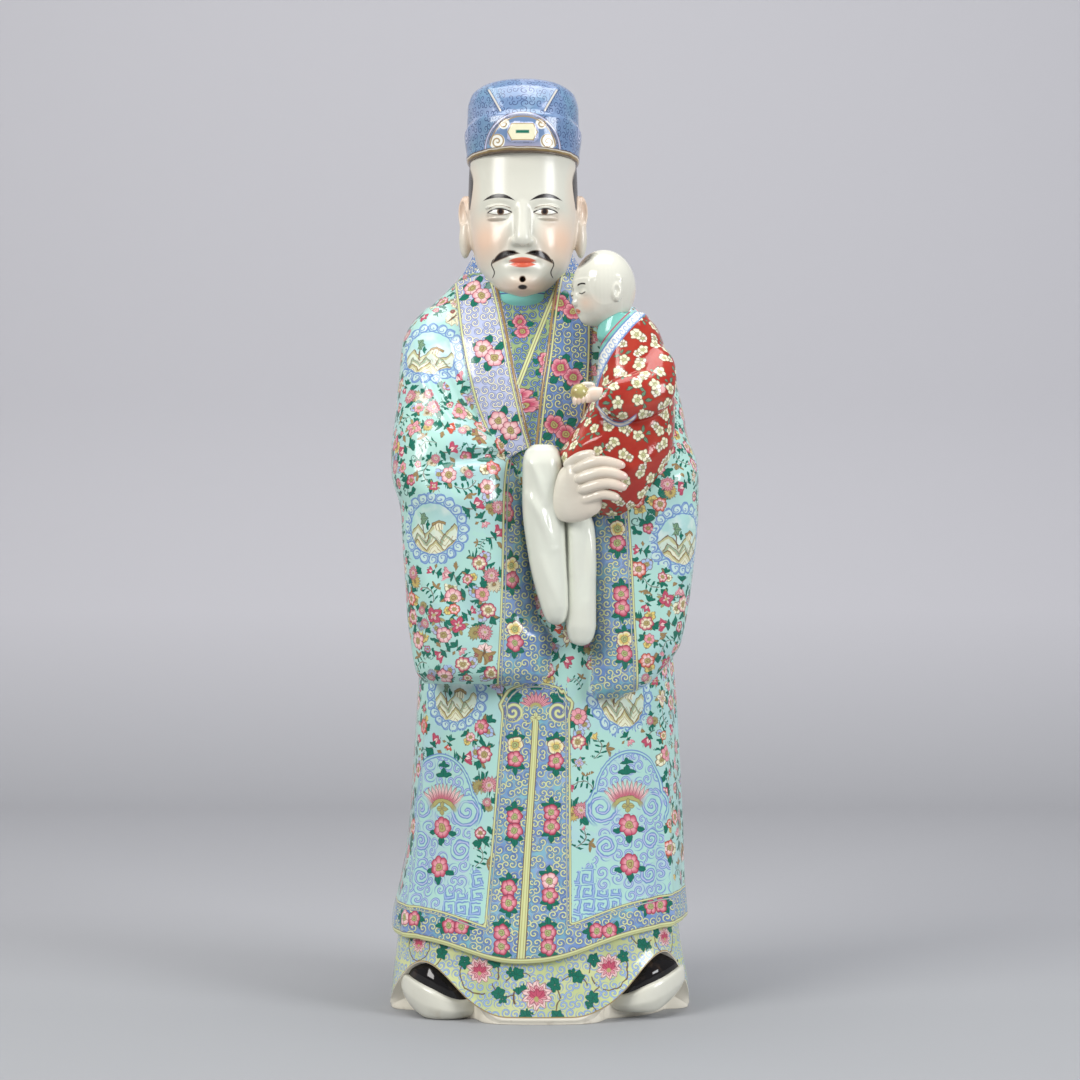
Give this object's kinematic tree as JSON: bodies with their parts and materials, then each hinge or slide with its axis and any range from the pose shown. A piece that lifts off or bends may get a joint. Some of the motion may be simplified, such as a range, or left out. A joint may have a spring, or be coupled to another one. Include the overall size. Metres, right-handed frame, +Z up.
{
  "type": "porcelain fu xing figure",
  "caption": "Standing glazed porcelain figure of a bearded dignitary in court robe and hat, holding a small child on the left arm; closed flat-bottomed body on its own foot rim.",
  "frame": {"origin": "on the ground, under the middle of the bounding box of the whole figure", "axes": "+Z up along the figure, -Y the way the figure faces, +X towards the child (the figure's own left)"},
  "size_m": [0.1988, 0.1678, 0.6],
  "materials": {
    "glazed_porcelain": "glazed porcelain with overglaze famille rose enamels: turquoise robe, blue bands, iron-red coat, ivory-white face and hands, black shoes"
  },
  "bodies": {
    "root": {"fu_xing_figure": "glazed_porcelain"}
  },
  "joints": []
}
